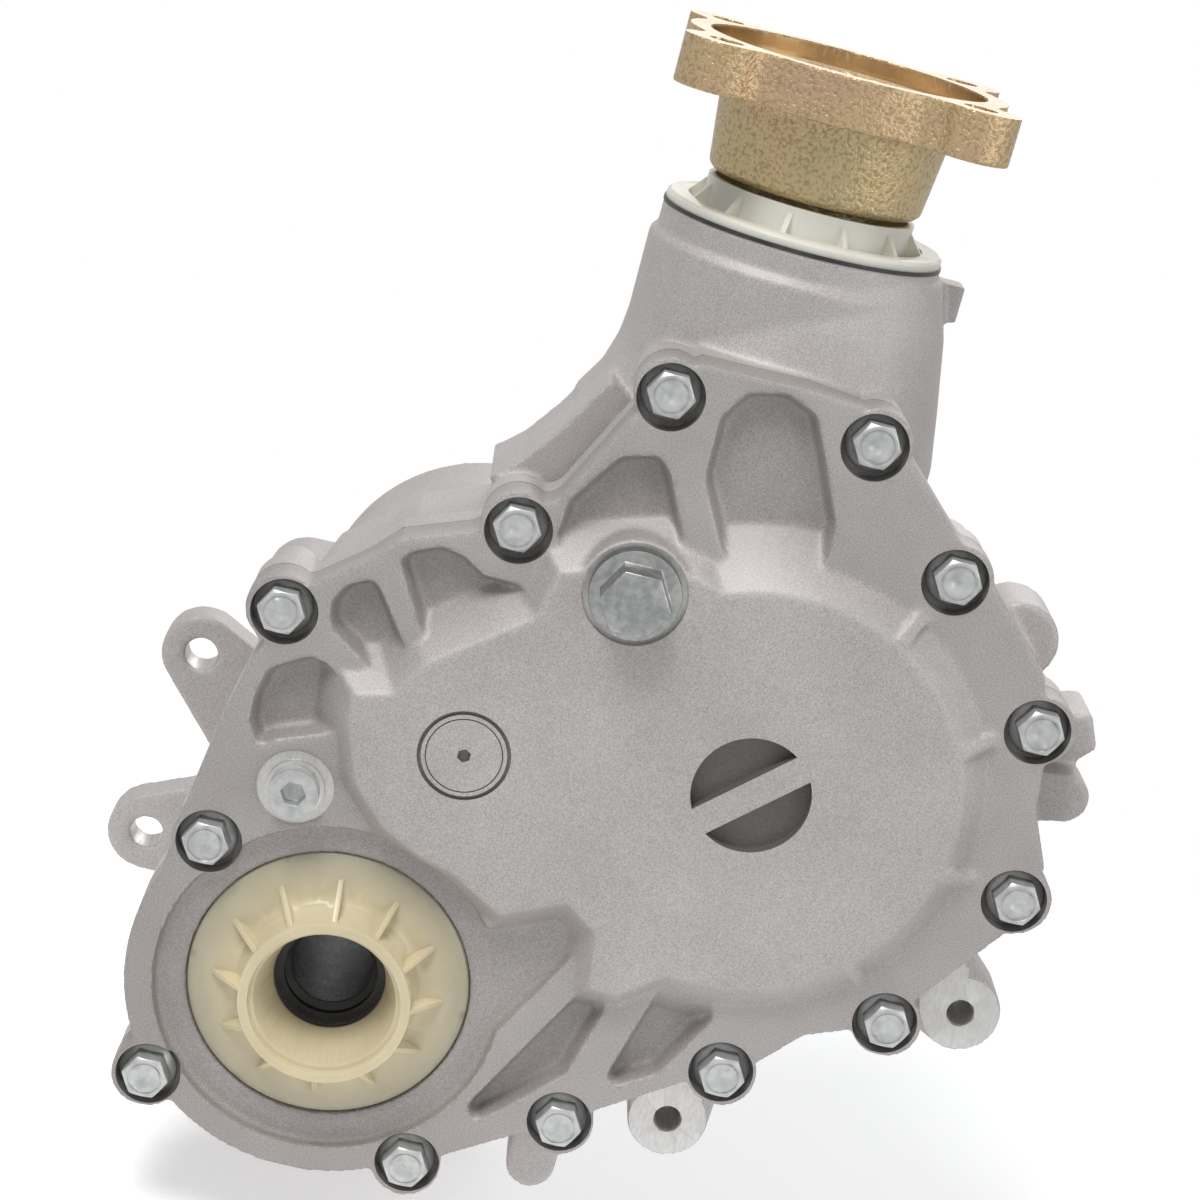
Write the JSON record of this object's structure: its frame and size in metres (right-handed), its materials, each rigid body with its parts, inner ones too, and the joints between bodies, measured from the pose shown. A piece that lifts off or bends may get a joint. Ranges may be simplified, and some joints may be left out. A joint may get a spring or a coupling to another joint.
{
  "type": "transfer case",
  "caption": "Right-angle transfer case: two-piece cast housing, hollow geared input in a nylon-plugged bore, idler, hypoid pair and a square output flange on a flared neck.",
  "frame": {"origin": "input axis where it meets the rear mounting face", "axes": "+Y along the input axis towards the gearbox it bolts to, +Z along the output axis towards the flange, +X to the right seen from the cover"},
  "size_m": [0.3058, 0.2105, 0.4055],
  "materials": {
    "cast_aluminium": "as-cast, fine grained",
    "zinc_steel": "zinc-plated, satin",
    "bright_washer": "turned",
    "gold_zinc": "yellow zinc-plated, rough cast outside, turned face and pilot",
    "nylon": "natural nylon, slightly translucent",
    "seal_rubber": "black, matt",
    "sealant": "cured sealant bead",
    "shaft_steel": "ground and turned",
    "gear_steel": "case-hardened, ground",
    "bearing_steel": "ground, polished",
    "plain_steel": "plain"
  },
  "bodies": {
    "housing": {"case": "cast_aluminium", "cover": "cast_aluminium", "cover_sealant": "sealant", "cover_bolts": "zinc_steel", "cover_dowels": "plain_steel", "fill_plug": "zinc_steel", "fill_plug_washer": "bright_washer", "level_plug": "zinc_steel", "level_plug_washer": "bright_washer", "idler_pin": "shaft_steel", "idler_pin_o_ring": "seal_rubber", "idler_thrust_washer_front": "plain_steel", "idler_thrust_washer_rear": "plain_steel", "input_front_seal": "seal_rubber", "input_rear_seal": "seal_rubber", "pinion_seal": "seal_rubber", "dust_shield": "nylon", "transfer_shim": "plain_steel", "pinion_shim": "plain_steel", "input_front_cup": "bearing_steel", "input_rear_cup": "bearing_steel", "transfer_front_cup": "bearing_steel", "transfer_rear_cup": "bearing_steel", "pinion_inner_cup": "bearing_steel", "pinion_outer_cup": "bearing_steel"},
    "transfer": {"transfer_shaft": "shaft_steel", "driven_gear": "gear_steel", "ring_gear": "gear_steel", "ring_gear_bolts": "plain_steel", "transfer_front_cone": "bearing_steel", "transfer_front_rollers": "bearing_steel", "transfer_rear_cone": "bearing_steel", "transfer_rear_rollers": "bearing_steel"},
    "input": {"input_shaft": "shaft_steel", "input_gear": "gear_steel", "halfshaft_seal": "seal_rubber", "input_front_cone": "bearing_steel", "input_front_rollers": "bearing_steel", "input_rear_cone": "bearing_steel", "input_rear_rollers": "bearing_steel"},
    "idler": {"idler_gear": "gear_steel", "idler_needles_front": "bearing_steel", "idler_needles_rear": "bearing_steel"},
    "output": {"pinion": "shaft_steel", "pinion_spacer": "shaft_steel", "pinion_nut": "shaft_steel", "output_flange": "gold_zinc", "pinion_inner_cone": "bearing_steel", "pinion_inner_rollers": "bearing_steel", "pinion_outer_cone": "bearing_steel", "pinion_outer_rollers": "bearing_steel"},
    "shipping_plug": {"input_plug": "nylon"}
  },
  "joints": [
    {"name": "transfer_spin", "type": "hinge", "parent": "housing", "child": "transfer", "pos_m": [0.11055, -0.026, 0.09827], "axis": [0, 1, 0], "continuous": true},
    {"name": "idler_spin", "type": "hinge", "parent": "housing", "child": "idler", "pos_m": [0.02303, -0.026, 0.08907], "axis": [0, 1, 0], "continuous": true},
    {"name": "input_spin", "type": "hinge", "parent": "housing", "child": "input", "pos_m": [0, -0.026, 0], "axis": [0, 1, 0], "continuous": true},
    {"name": "output_spin", "type": "hinge", "parent": "housing", "child": "output", "pos_m": [0.08745, -0.074, 0.17827], "axis": [0, 0, 1], "continuous": true},
    {"name": "plug_pull", "type": "slide", "parent": "housing", "child": "shipping_plug", "axis": [0, -1, 0], "range_m": [0, 0.08]}
  ],
  "couplings": [
    {"joint": "idler_spin", "follows": "transfer_spin", "ratio": -0.83333},
    {"joint": "input_spin", "follows": "transfer_spin", "ratio": 0.90909},
    {"joint": "output_spin", "follows": "transfer_spin", "ratio": 2.9231}
  ]
}
